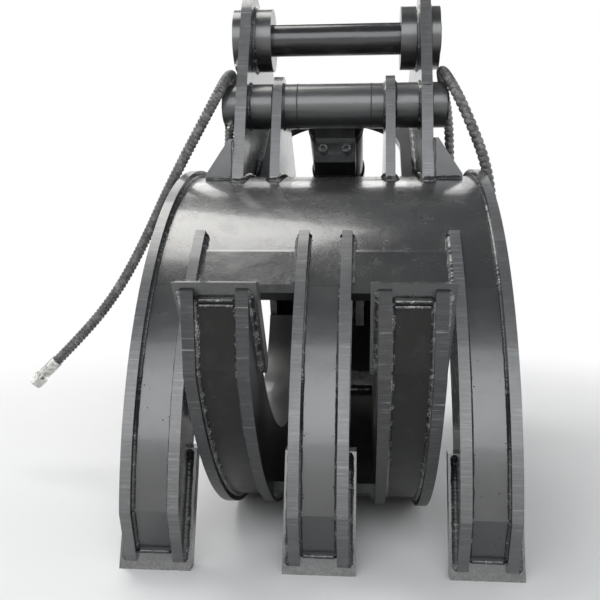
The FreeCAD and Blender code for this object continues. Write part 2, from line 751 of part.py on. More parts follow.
# Lugs that carry the rod pin, standing on the end of the rear shell
lug_face = outline([
    (point_at(rear_back_centre, bar_radius, lug_low_angle), 0),
    (rod_pin, lug_radius),
    (rear_shell_end_in, 0, arc_middle(rear_back_centre, bar_radius, lug_low_angle, rear_shell_back_angle)),
])
lugs = []
for name, side in sides:
    lug = pair(lug_face, lug_inner, lug_inner + lug_thickness, side)
    lugs.append(lug.cut(rod_across(rod_pin, rod_pin_diameter, -far, far)))
nodes["rod_lugs"] = Part.makeCompound(lugs)
rod_pin_end = rear_tine_outer
thick = rod_across(rod_pin, rod_pin_diameter, -rod_pin_end, rod_pin_end)
waist = ring_across(
    rod_pin, rod_pin_diameter + 2.0, rod_pin_neck_diameter, -lug_inner + 1.0, lug_inner - 1.0)
nodes["rod_pin"] = thick.cut(waist)

# Cylinder, along the line from the anchor pin to the rod pin
cylinder_way = unit(anchor_pin, rod_pin)
cylinder_down = (cylinder_way[1], -cylinder_way[0])
cylinder_length = math.hypot(rod_pin[0] - anchor_pin[0], rod_pin[1] - anchor_pin[1])
cylinder_axis = FreeCAD.Vector(0, cylinder_way[0], cylinder_way[1])


def along(start, end, diameter):
    """Round bar on the cylinder's axis, between two distances from the anchor pin."""
    foot = shift(anchor_pin, cylinder_way, start)
    base = FreeCAD.Vector(0, foot[0], foot[1])
    return Part.makeCylinder(diameter / 2.0, end - start, base, cylinder_axis)


def cylinder_point(distance, drop):
    """Side-view point at a distance along the cylinder and below its axis."""
    return shift(shift(anchor_pin, cylinder_way, distance), cylinder_down, drop)


eye_bore = anchor_pin_diameter + 2.0 * running_clearance
eye_tube = rod_across(anchor_pin, sleeve_diameter, -eye_tube_length / 2.0, eye_tube_length / 2.0)
neck_end = cap_start + cap_thickness / 2.0
neck_face = outline([
    (cylinder_point(0.0, neck_height / 2.0), 0),
    (cylinder_point(0.0, -neck_height / 2.0), 0),
    (cylinder_point(neck_end, -neck_root_height / 2.0), 0),
    (cylinder_point(neck_end, neck_root_height / 2.0), 0),
])
barrel = along(cap_start, gland_start, barrel_diameter)
barrel = barrel.cut(along(cap_start + cap_thickness, gland_start + 1.0, barrel_bore))
barrel = barrel.fuse(eye_tube).fuse(across(neck_face, -neck_width / 2.0, neck_width / 2.0))
barrel = barrel.cut(rod_across(anchor_pin, eye_bore, -eye_tube_length, eye_tube_length))
nodes["cylinder_barrel"] = barrel.removeSplitter()
gland = along(gland_start, gland_start + gland_length, gland_diameter)
nodes["cylinder_gland"] = gland.cut(
    along(gland_start - gland_length, gland_start + 2.0 * gland_length, rod_diameter + 2.0 * running_clearance))

piston_front = gland_start - piston_gap
piston = along(piston_front - piston_thickness, piston_front, barrel_bore - 2.0 * piston_clearance)
rod_eye = rod_across(rod_pin, rod_eye_diameter, -rod_eye_width / 2.0, rod_eye_width / 2.0)
rod_start = piston_front - piston_thickness / 2.0
rod_end = cylinder_length - (rod_eye_bore + rod_eye_diameter) / 4.0
piston_rod = piston.fuse(along(rod_start, rod_end, rod_diameter)).fuse(rod_eye)
piston_rod = piston_rod.cut(rod_across(rod_pin, rod_eye_bore, -rod_eye_width, rod_eye_width))
nodes["piston_rod"] = piston_rod.removeSplitter()

block_face = outline([
    (cylinder_point(block_start, block_drop), 0),
    (cylinder_point(block_start, barrel_diameter / 4.0), 0),
    (cylinder_point(block_start + block_length, barrel_diameter / 4.0), 0),
    (cylinder_point(block_start + block_length, block_drop), 0),
])
block = across(block_face, -block_width / 2.0, block_width / 2.0)
block = block.cut(nodes["cylinder_barrel"])
block = block.cut(along(cap_start, gland_start, barrel_diameter))
bolt_drop = block_drop - block_bolt_edge
bolt_foot = cylinder_point(block_start, bolt_drop)
bolts = []
for side in (-1.0, 1.0):
    base = FreeCAD.Vector(side * block_bolt_pitch / 2.0, bolt_foot[0], bolt_foot[1])
    head = Part.makeCylinder(block_bolt_head / 2.0, bolt_head_length, base, cylinder_axis * -1.0)
    socket = Part.makeCylinder(
        block_bolt_head / 4.0, bolt_head_length / 2.0 + 1.0,
        base - cylinder_axis * (bolt_head_length + 1.0), cylinder_axis)
    shank = Part.makeCylinder(block_bolt_hole / 2.0, block_length - bolt_head_length, base, cylinder_axis)
    block = block.cut(shank)
    bolts.append(head.cut(socket).fuse(shank))
nodes["valve_block"] = max(block.Solids, key=lambda solid: solid.Volume)
nodes["valve_bolts"] = Part.makeCompound(bolts)

# Hydraulic lines: bulkhead blocks on the ears, jumpers inside, hoses outside
hose_x = ear_outer + hose_stand_off
barrel_room = along(cap_start, gland_start, barrel_diameter + 2.0 * jumper_gap)
bulkheads = []
for name, side in sides:
    half = bulkhead_size / 2.0
    size_x = hose_stand_off + half
    corner_x = ear_outer if side > 0 else -ear_outer - size_x
    corner = FreeCAD.Vector(corner_x, bulkhead_point[0] - half, bulkhead_point[1] - half)
    bulkheads.append(Part.makeBox(size_x, bulkhead_size, bulkhead_size, corner))
    low = 0.0 if side > 0 else -ear_outer
    jumper = rod_across(bulkhead_point, jumper_diameter, low, low + ear_outer)
    nodes["jumper_tube_" + name] = jumper.cut(barrel_room)
    tunnel_diameter = jumper_diameter + 2.0 * tunnel_clearance
    tunnel = rod_across(bulkhead_point, tunnel_diameter, low - ear_thickness, low + ear_outer + ear_thickness)
    nodes["ear_" + name] = nodes["ear_" + name].cut(tunnel)
    nodes["inner_plate_" + name] = nodes["inner_plate_" + name].cut(tunnel)
nodes["hose_bulkheads"] = Part.makeCompound(bulkheads)

hose_foot_z = bulkhead_point[1] + bulkhead_size / 2.0
hose_points = {
    "left": [
        (-hose_x, bulkhead_point[0], hose_foot_z), (-hose_x, bulkhead_point[0], 715.0),
        (-222.0, 107.0, 800.0), (-206.0, -25.0, 806.0), (-229.0, -103.0, 727.0),
        (-312.0, -90.0, 584.0), (-378.0, -66.0, 459.0), (-433.7, -60.0, 365.6),
        (-496.0, -62.0, 287.8), (-562.1, -60.0, 223.7)],
    "right": [
        (hose_x, bulkhead_point[0], hose_foot_z), (hose_x, bulkhead_point[0], 715.0),
        (222.0, 107.0, 800.0), (207.0, -20.0, 809.0), (242.0, -106.0, 722.0),
        (304.0, -58.0, 588.0), (312.0, -9.0, 440.0), (318.0, 28.0, 290.0),
        (318.0, 66.0, 150.0), (322.0, 140.0, 45.0), (330.0, 270.0, 16.5), (338.0, 380.0, 16.5)],
}


def bend(before, corner, after):
    """Start, middle, end and radius of the arc that rounds one corner of a hose."""
    back = before - corner
    ahead = after - corner
    shorter = min(back.Length, ahead.Length)
    way_in = back * (1.0 / back.Length)
    way_out = ahead * (1.0 / ahead.Length)
    turn = math.pi - math.acos(way_in.dot(way_out))
    trim = 0.45 * shorter
    radius = trim / math.tan(turn / 2.0)
    middle_way = (way_in + way_out).normalize()
    reach = radius / math.cos(turn / 2.0) - radius
    return corner + way_in * trim, corner + middle_way * reach, corner + way_out * trim, radius


def hose(points, diameter):
    """Round tube along straight runs joined by tangent arcs."""
    spots = [FreeCAD.Vector(*point) for point in points]
    edges = []
    here = spots[0]
    radii = []
    for before, corner, after in zip(spots, spots[1:], spots[2:]):
        start, middle, end, radius = bend(before, corner, after)
        edges.append(Part.makeLine(here, start))
        edges.append(Part.Arc(start, middle, end).toShape())
        radii.append(radius)
        here = end
    edges.append(Part.makeLine(here, spots[-1]))
    path = Part.Wire(edges)
    way = (spots[1] - spots[0]).normalize()
    circle = Part.Wire([Part.makeCircle(diameter / 2.0, spots[0], way)])
    tube = path.makePipeShell([circle], True, False)
    print("hose length", round(path.Length, 1), "radii", [round(radius) for radius in radii])
    print("hose volume", round(tube.Volume), "expected", round(path.Length * math.pi * diameter ** 2 / 4.0))
    return tube


for name, side in sides:
    points = hose_points[name]
    nodes["hose_" + name] = hose(points, hose_diameter)
    end = FreeCAD.Vector(*points[-1])
    way = (end - FreeCAD.Vector(*points[-2])).normalize()
    ferrule = Part.makeCylinder(ferrule_diameter / 2.0, ferrule_length, end, way)
    stem_foot = end + way * ferrule_length
    stem = Part.makeCylinder(stem_diameter / 2.0, nut_length, stem_foot, way)
    nut_foot = stem_foot + way * (nut_length / 2.0)
    tilt = FreeCAD.Rotation(FreeCAD.Vector(0, 0, 1), way)
    corners = []
    for index in range(7):
        angle = math.radians(60.0 * index + 30.0)
        reach = nut_size / 2.0 / math.cos(math.radians(30.0))
        corners.append(nut_foot + tilt.multVec(
            FreeCAD.Vector(reach * math.cos(angle), reach * math.sin(angle), 0)))
    nut = Part.Face(Part.makePolygon(corners)).extrude(way * nut_length)
    fitting = ferrule.fuse(stem).fuse(nut)
    mouth = nut_foot + way * nut_length
    fitting = fitting.cut(Part.makeCylinder(nut_bore, nut_length * 0.7, mouth - way * nut_length * 0.7, way))
    nodes["hose_end_" + name] = fitting.removeSplitter()
    print("nut mouth", name, mouth, way)

nipples = []
for centre, radius, x in (
        (stick_pin, stick_boss_diameter / 2.0, ear_outer + stick_boss_length / 2.0),
        (anchor_pin, sleeve_diameter / 2.0, ear_outer + anchor_end_length / 2.0)):
    way = FreeCAD.Vector(-0.25, -0.62, -0.74).normalize()
    foot = FreeCAD.Vector(-x, centre[0] - 0.64 * radius, centre[1] - 0.77 * radius)
    body_end = nipple_diameter / 2.0
    ball_centre = 1.2 * nipple_diameter
    hexagon = Part.makeCylinder(body_end, 1.25 * body_end, foot - way * (body_end / 4.0), way)
    tip = Part.makeCylinder(body_end / 2.0, ball_centre - body_end / 2.0, foot + way * (body_end / 2.0), way)
    ball = Part.makeSphere(nipple_diameter / 3.0, foot + way * ball_centre)
    boss = rod_across(centre, 2.0 * radius, -far, far)
    nipples.append(hexagon.fuse(tip).fuse(ball).cut(boss))
nodes["grease_nipples"] = Part.makeCompound(nipples)

# The origin is on the ground, below the middle of the grapple without its hoses
solid_nodes = [shape for name, shape in nodes.items() if not name.startswith("hose_")]
low_y = min(shape.optimalBoundingBox(False).YMin for shape in solid_nodes)
high_y = max(shape.optimalBoundingBox(False).YMax for shape in solid_nodes)
low_z = min(shape.optimalBoundingBox(False).ZMin for shape in solid_nodes)
middle_y = (low_y + high_y) / 2.0
print("middle y", middle_y, "low z", low_z)
os.makedirs("parts", exist_ok=True)
for name, shape in nodes.items():
    moved = shape.copy()
    moved.translate(FreeCAD.Vector(0, -middle_y, -low_z))
    moved.exportStep(os.path.join("parts", name + ".step"))
print(len(nodes), "pieces")
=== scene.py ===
"""Looks of a black painted log grapple that stands on its tine tips.

Side-view points are (y, z) pairs in millimetres, as in the part's source, where
y runs from the front tines to the ears' rear. place() turns them into metres in
the part's own frame.
"""
import math
import random

import bpy
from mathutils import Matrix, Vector, noise


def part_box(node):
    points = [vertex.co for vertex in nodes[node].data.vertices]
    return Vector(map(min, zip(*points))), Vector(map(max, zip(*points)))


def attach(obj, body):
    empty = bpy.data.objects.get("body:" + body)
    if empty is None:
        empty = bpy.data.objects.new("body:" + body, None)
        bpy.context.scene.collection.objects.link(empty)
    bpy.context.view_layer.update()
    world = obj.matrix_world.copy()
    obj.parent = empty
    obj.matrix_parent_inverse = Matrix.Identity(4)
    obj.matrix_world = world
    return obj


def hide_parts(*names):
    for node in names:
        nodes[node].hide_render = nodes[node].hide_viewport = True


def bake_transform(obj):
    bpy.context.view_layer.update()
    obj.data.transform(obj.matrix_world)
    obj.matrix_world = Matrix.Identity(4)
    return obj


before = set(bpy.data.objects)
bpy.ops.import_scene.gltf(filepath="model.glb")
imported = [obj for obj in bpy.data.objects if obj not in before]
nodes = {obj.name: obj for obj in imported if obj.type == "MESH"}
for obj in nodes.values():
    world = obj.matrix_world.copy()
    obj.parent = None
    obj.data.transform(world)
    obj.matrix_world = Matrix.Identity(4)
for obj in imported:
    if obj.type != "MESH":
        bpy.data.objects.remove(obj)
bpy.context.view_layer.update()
pin_low, pin_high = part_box("stick_pin")
origin_y = (pin_low[1] + pin_high[1]) * 500.0 - 79.5
random.seed(7)


class Signal:
    """A socket of a material, with arithmetic."""

    def __init__(self, finish, socket):
        self.finish = finish
        self.socket = socket

    def maths(self, operation, *values):
        return self.finish.node("ShaderNodeMath", {"operation": operation}, list(values))

    def __add__(self, other):
        return self.maths("ADD", self, other)

    def __radd__(self, other):
        return self.maths("ADD", other, self)

    def __sub__(self, other):
        return self.maths("SUBTRACT", self, other)

    def __rsub__(self, other):
        return self.maths("SUBTRACT", other, self)

    def __mul__(self, other):
        return self.maths("MULTIPLY", self, other)

    def __rmul__(self, other):
        return self.maths("MULTIPLY", other, self)

    def __pow__(self, other):
        return self.maths("POWER", self, other)

    def __abs__(self):
        return self.maths("ABSOLUTE", self)

    def clamp(self):
        return self.finish.node("ShaderNodeClamp", {}, [self, 0.0, 1.0])

    def step(self, low, high):
        """0 below low, 1 above high, smooth between."""
        return self.finish.node("ShaderNodeMapRange", {"interpolation_type": "SMOOTHSTEP"},
                                [self, low, high, 0.0, 1.0])


class Finish:
    """A material that is built from a few plain steps."""

    def __init__(self, name):
        self.material = bpy.data.materials.new(name)
        self.material.use_nodes = True
        self.tree = self.material.node_tree
        self.shader = self.tree.nodes["Principled BSDF"]
        coordinates = self.tree.nodes.new("ShaderNodeTexCoord")
        geometry = self.tree.nodes.new("ShaderNodeNewGeometry")
        self.where = Signal(self, coordinates.outputs["Object"])
        self.normal = Signal(self, geometry.outputs["Normal"])

    def plug(self, value, socket):
        if isinstance(value, Signal):
            self.tree.links.new(value.socket, socket)
        elif value is not None:
            socket.default_value = value

    def node(self, kind, settings, values, output=0):
        made = self.tree.nodes.new(kind)
        for key, value in settings.items():
            setattr(made, key, value)
        if isinstance(values, dict):
            for key, value in values.items():
                self.plug(value, made.inputs[key])
        else:
            for value, socket in zip(values, made.inputs):
                self.plug(value, socket)
        return Signal(self, made.outputs[output])

    def noise(self, scale, detail=3.0, roughness=0.5, where=None, distortion=0.0):
        return self.node("ShaderNodeTexNoise", {}, {
            "Vector": where or self.where, "Scale": scale, "Detail": detail,
            "Roughness": roughness, "Distortion": distortion})

    def stretch(self, x, y, z):
        return self.node("ShaderNodeVectorMath", {"operation": "MULTIPLY"}, [self.where, (x, y, z)])

    def part(self, vector, axis):
        return self.node("ShaderNodeSeparateXYZ", {}, [vector], output=axis)

    def mix(self, mask, low, high):
        made = self.tree.nodes.new("ShaderNodeMix")
        made.data_type = "RGBA"
        self.plug(mask, made.inputs[0])
        self.plug(low if isinstance(low, Signal) else (*low, 1.0), made.inputs[6])
        self.plug(high if isinstance(high, Signal) else (*high, 1.0), made.inputs[7])
        return Signal(self, made.outputs[2])

    def bump(self, height, strength, distance, below=None):
        values = {"Strength": strength, "Distance": distance, "Height": height}
        if below is not None:
            values["Normal"] = below
        return self.node("ShaderNodeBump", {}, values)

    def set(self, name, value):
        if isinstance(value, tuple):
            value = (*value, 1.0)
        self.plug(value, self.shader.inputs[name])


def painted(name, cut="edges", gloss=0.24, dust_and_sheen=0.4, tint=(0.014, 0.0142, 0.0149),
            shine=1.85, coat=0.5, wear=0.6):
    """Gloss black paint over hot-rolled plate, streaky where the plate was flame-cut, and lighter on
    up-facing faces from dust and a painted sheen.

    cut says which faces are flame-cut: "edges" for a plate that lies across X,
    "ends" for a bar along X, None for a rolled or turned piece.
    """
    f = Finish(name)
    broad = f.noise(7.0, 3.0, 0.5)
    cloud = f.noise(34.0, 5.0, 0.62, distortion=0.5)
    fine = f.noise(210.0, 3.0, 0.6)
    speck = f.noise(900.0, 2.0, 0.6)
    up = f.part(f.normal, 2)
    across = abs(f.part(f.normal, 0))
    height = f.part(f.where, 2)
    # Up-facing faces turn lighter and rougher: settled dust, and a painted sheen of the sky above.
    film = (up.step(0.30, 1.0) * dust_and_sheen * broad.step(0.30, 0.72)).clamp()
    colour = f.mix(film, tint, (0.070, 0.068, 0.063))
    smear = cloud.step(0.50, 0.74)
    colour = f.mix(smear * 0.42, colour, (0.030, 0.030, 0.031))
    scuff = f.noise(1.0, 4.0, 0.7, where=f.stretch(30.0, 14.0, 110.0), distortion=0.6)
    rubs = scuff.step(0.62, 0.72) * across.step(0.80, 0.95) * broad.step(0.42, 0.60)
    colour = f.mix(rubs * 0.35, colour, (0.11, 0.11, 0.108))
    grit = f.noise(560.0, 3.0, 0.7).step(0.64, 0.70) * broad.step(0.44, 0.60)
    colour = f.mix(grit * 0.45, colour, (0.15, 0.15, 0.145))
    ground = (1.0 - height.step(0.001, 0.018)) * fine.step(0.44, 0.62)
    colour = f.mix(ground * 0.5, colour, (0.13, 0.12, 0.105))
    roughness = gloss + smear * 0.08 + rubs * 0.15 + film * 0.12 + grit * 0.2 + ground * 0.25
    wavy = f.bump(broad, 0.25, 0.012)
    rough_skin = f.bump(fine, 0.15, 0.0010, wavy)
    normal = f.bump(speck, 0.16, 0.0005, rough_skin)
    if cut:
        edge = 1.0 - across.step(0.35, 0.65) if cut == "edges" else across.step(0.35, 0.65)
        way = (9.0, 300.0, 300.0) if cut == "edges" else (300.0, 9.0, 9.0)
        narrow = (22.0, 1100.0, 1100.0) if cut == "edges" else (1100.0, 22.0, 22.0)
        streak = f.noise(1.0, 2.0, 0.55, where=f.stretch(*way))
        stripe = f.noise(1.0, 4.0, 0.75, where=f.stretch(*narrow))
        lines = streak * 0.45 + stripe * 0.55
        patch = f.noise(20.0, 3.0, 0.6).step(0.36, 0.64)
        colour = f.mix(edge * wear, colour, (0.060, 0.061, 0.064))
        worn = (edge * lines.step(0.46, 0.68) * (0.30 + patch * 0.60)).clamp()
        colour = f.mix(worn * wear, colour, (0.200, 0.204, 0.211))
        scratch = (edge * streak.step(0.66, 0.70) * patch).clamp()
        chip = (edge * stripe.step(0.62, 0.68) * f.noise(80.0, 2.0, 0.6).step(0.52, 0.62)).clamp()
        colour = f.mix((chip * 0.7 + scratch * (0.7 - wear)).clamp() * 0.8, colour, (0.45, 0.45, 0.44))
        roughness = roughness + edge * 0.08
        normal = f.bump(lines * edge, 0.38, 0.0016, normal)
    f.set("Base Color", colour)
    f.set("Roughness", roughness.clamp())
    f.set("Normal", normal)
    f.set("IOR", shine)
    f.set("Coat Weight", coat)
    f.set("Coat Roughness", 0.10)
    return f.material


def rubbed(name, share=0.5):
    """Paint on a plate's very edge, rubbed through to bright steel in places."""
    f = Finish(name)
    patch = f.noise(26.0, 3.0, 0.6)
    speck = f.noise(330.0, 4.0, 0.7)
    bare = (patch.step(0.60 - share * 0.2, 0.72 - share * 0.2) * speck.step(0.40, 0.56)
            + speck.step(0.60, 0.66) * 0.7).clamp()
    f.set("Base Color", f.mix(bare, (0.020, 0.0205, 0.0215), (0.50, 0.50, 0.49)))
    f.set("Metallic", bare * 0.5)
    f.set("Roughness", 0.26 + bare * 0.1)
    f.set("Normal", f.bump(speck, 0.2, 0.0006))
    return f.material


def weld_metal(name, bare=0.0):
    """Painted weld bead with light specks and patches: bare metal where the paint is thin, and painted
    glints.
    """
    f = Finish(name)
    patch = f.noise(70.0, 3.0, 0.6)
    speck = f.noise(560.0, 3.0, 0.7)
    # Light specks and patches: bare metal, and painted glints on the ripples.
    bright = (patch.step(0.56 - bare, 0.72 - bare) * speck.step(0.46, 0.60) * 0.8
              + speck.step(0.64, 0.70) * 0.5).clamp()
    f.set("Base Color", f.mix(bright, (0.016, 0.0162, 0.017), (0.42, 0.42, 0.41)))
    f.set("Metallic", bright * 0.4)
    f.set("Roughness", 0.17 + patch * 0.14)
    f.set("Normal", f.bump(speck, 0.22, 0.0008))
    f.set("IOR", 1.6)
    f.set("Coat Weight", 0.5)
    f.set("Coat Roughness", 0.08)
    return f.material


def plated(name):
    """Zinc-plated steel, brushed, with grime in its hollows."""
    f = Finish(name)
    cloud = f.noise(120.0, 4.0, 0.6)
    speck = f.noise(1500.0, 2.0, 0.6)
    f.set("Base Color", f.mix(cloud.step(0.4, 0.75), (0.62, 0.62, 0.60), (0.30, 0.29, 0.27)))
    f.set("Metallic", 1.0)
    f.set("Roughness", 0.22 + cloud * 0.25)
    f.set("Normal", f.bump(speck, 0.12, 0.0003))
    return f.material


def chromed(name):
    """Hard chrome of the piston rod, with faint rings and an oil film."""
    f = Finish(name)
    film = f.noise(40.0, 3.0, 0.5)
    rings = f.noise(1.0, 3.0, 0.6, where=f.stretch(20.0, 900.0, 20.0))
    f.set("Base Color", f.mix(film, (0.64, 0.65, 0.66), (0.50, 0.51, 0.52)))
    f.set("Metallic", 1.0)
    f.set("Roughness", 0.07 + film * 0.12 + rings * 0.05)
    f.set("Normal", f.bump(rings, 0.05, 0.0002))
    return f.material


def black_bolt(name):
    """Blackened socket screw, rubbed bright on its knurl and rim."""
    f = Finish(name)
    rub = f.noise(420.0, 3.0, 0.7).step(0.50, 0.64)
    f.set("Base Color", f.mix(rub, (0.022, 0.022, 0.023), (0.24, 0.24, 0.235)))
    f.set("Metallic", rub * 0.6)
    f.set("Roughness", 0.30 + rub * 0.12)
    f.set("Normal", f.bump(f.noise(900.0), 0.2, 0.0004))
    return f.material


def guard_plastic_with_painted_highlights(name):
    """Grey-black spiral guard with lighter patches and specks, partly scuffs and partly painted highlights.
    """
    f = Finish(name)
    cloud = f.noise(70.0, 4.0, 0.6)
    speck = f.noise(620.0, 3.0, 0.65)
    # Lighter patches and specks: scuffs, and painted highlights.
    scuff = (cloud.step(0.42, 0.70) * 0.5 + speck.step(0.55, 0.66) * 0.5).clamp()
    f.set("Base Color", f.mix(scuff, (0.055, 0.055, 0.056), (0.27, 0.268, 0.26)))
    f.set("Roughness", 0.28 + cloud * 0.2)
    f.set("Normal", f.bump(speck, 0.25, 0.0005))
    return f.material


def hose_rubber(name):
    """Matt black rubber of the hose under its guard and of the inner lines."""
    f = Finish(name)
    cloud = f.noise(80.0, 3.0, 0.6)
    weave = f.noise(1500.0, 2.0, 0.5)
    f.set("Base Color", f.mix(cloud, (0.010, 0.010, 0.010), (0.028, 0.028, 0.027)))
    f.set("Roughness", 0.50 + cloud * 0.2)
    f.set("Normal", f.bump(weave, 0.25, 0.0004))
    return f.material


plate_paint = painted("plate_paint")
# Rear jaw side plates: the plate paint with weaker reflection and less top film, a painted shade.
rear_shaded_plate_paint = painted("rear_shaded_plate_paint", gloss=0.30, dust_and_sheen=0.2, shine=1.50, coat=0.0, wear=0.3)
end_paint = painted("end_plate_paint", cut="ends")
body_paint = painted("body_paint", cut=None, gloss=0.22, dust_and_sheen=0.45)
web_paint = painted("web_paint", cut=None, gloss=0.31, dust_and_sheen=0.3)
# Rear webs and rear shell: a darker brownish tint and weaker reflection, partly a brown tone and partly
# painted shade.
rear_shaded_paint = painted("rear_web_shaded_paint", cut=None, gloss=0.30, dust_and_sheen=0.1, tint=(0.009, 0.0084, 0.0078),
                     shine=1.36, coat=0.0)
pin_paint = painted("pin_paint", cut=None, gloss=0.20, dust_and_sheen=0.10, shine=1.60, coat=0.3)
# Eye tubes and sleeves: a lighter tint and a heavy up-facing film, which are dust and a painted sheen on
# their tops.
tube_dust_and_sheen_paint = painted("eye_tube_dust_and_sheen_paint", cut=None, gloss=0.38, dust_and_sheen=0.9,
                     tint=(0.019, 0.0195, 0.0203))
rubbed_edge = rubbed("rubbed_edge", 0.8)
rubbed_rear_edge = rubbed("rubbed_rear_edge", 1.0)
weld_paint = weld_metal("weld_paint")
bare_weld_with_painted_glints = weld_metal("bare_weld_with_painted_glints", 0.10)
zinc = plated("zinc_plate")
chrome = chromed("hard_chrome")
screw = black_bolt("blackened_screw")
guard = guard_plastic_with_painted_highlights("guard_plastic_with_painted_highlights")
rubber = hose_rubber("line_rubber")

finish_of = {
    "front_shell": body_paint, "rear_shell": rear_shaded_paint, "stick_pin": pin_paint, "anchor_pin": pin_paint,
    "cylinder_barrel": tube_dust_and_sheen_paint, "cylinder_gland": pin_paint, "piston_rod": chrome,
    "valve_block": pin_paint,
    "valve_bolts": screw, "hose_end_left": zinc, "hose_end_right": zinc, "grease_nipples": zinc,
    "hose_bulkheads": pin_paint, "arch_plate": web_paint, "gusset_left": web_paint, "gusset_right": web_paint,
    "stiffener_bar": end_paint, "front_lip_bars": end_paint,
}
no_rubbed_edges = ("piston_rod", "hose_end_left", "hose_end_right", "grease_nipples", "valve_bolts")
for name, node in nodes.items():
    material = finish_of.get(name, plate_paint)
    if "front_web" in name or "grip" in name or "sleeve" in name or "boss" in name:
        material = web_paint
    if "rear_web" in name:
        material = rear_shaded_paint
    if "tip_plate" in name:
        material = end_paint
    if "side_plate" in name and name.startswith("rear"):
        material = rear_shaded_plate_paint
    if "sleeve" in name or "eye_tube" in name:
        material = tube_dust_and_sheen_paint
    node.data.materials.clear()
    node.data.materials.append(material)
    if name not in no_rubbed_edges:
        node.data.materials.append(rubbed_rear_edge if name.startswith("rear") else rubbed_edge)
    for polygon in node.data.polygons:
        polygon.material_index = 0


def place(x, y, z):
    """Side-view millimetres to metres in the part's frame."""
    return Vector((x / 1000.0, (y + origin_y) / 1000.0, z / 1000.0))


def new_piece(name, vertices, faces, material, smooth=True):
    mesh = bpy.data.meshes.new(name)
    mesh.from_pydata([tuple(v) for v in vertices], [], faces)
    mesh.validate()
    mesh.materials.append(material)
    if smooth:
        mesh.polygons.foreach_set("use_smooth", [True] * len(mesh.polygons))
    piece = bpy.data.objects.new(name, mesh)
    bpy.context.scene.collection.objects.link(piece)
    return piece


# Weld beads, one mesh for each body that carries them
front_centre = (-4.0, 50.0)
front_skin = 545.0
rear_centre = (-130.0, 590.0)
rear_skin = 577.0
rear_back_centre = (60.0, 364.0)
rear_back_skin = 351.0
rear_back_inner = 337.0
front_knuckle_angle = 175.58
rear_knuckle_angle = 208.78
stick_pin = (79.5, 884.4)
link_pin = (416.2, 751.5)
jaw_pin = (271.9, 508.5)
anchor_pin = (-9.2, 734.9)
rod_pin = (429.6, 536.0)
ear_outer = 188.0
ear_inner = 167.0
inner_plate_outer = 118.0
inner_plate_inner = 100.0
boss_radius = 63.5
jaw_boss_radius = 56.0
sleeve_radius = 44.0
right_way = Vector((1.0, 0.0, 0.0))
up_way = Vector((0.0, 0.0, 1.0))


def side_way(degrees):
    """Unit direction in the side view."""
    angle = math.radians(degrees)
    return Vector((0.0, math.cos(angle), math.sin(angle)))


def on_arc(centre, radius, degrees, x):
    angle = math.radians(degrees)
    return place(x, centre[0] + radius * math.cos(angle), centre[1] + radius * math.sin(angle))


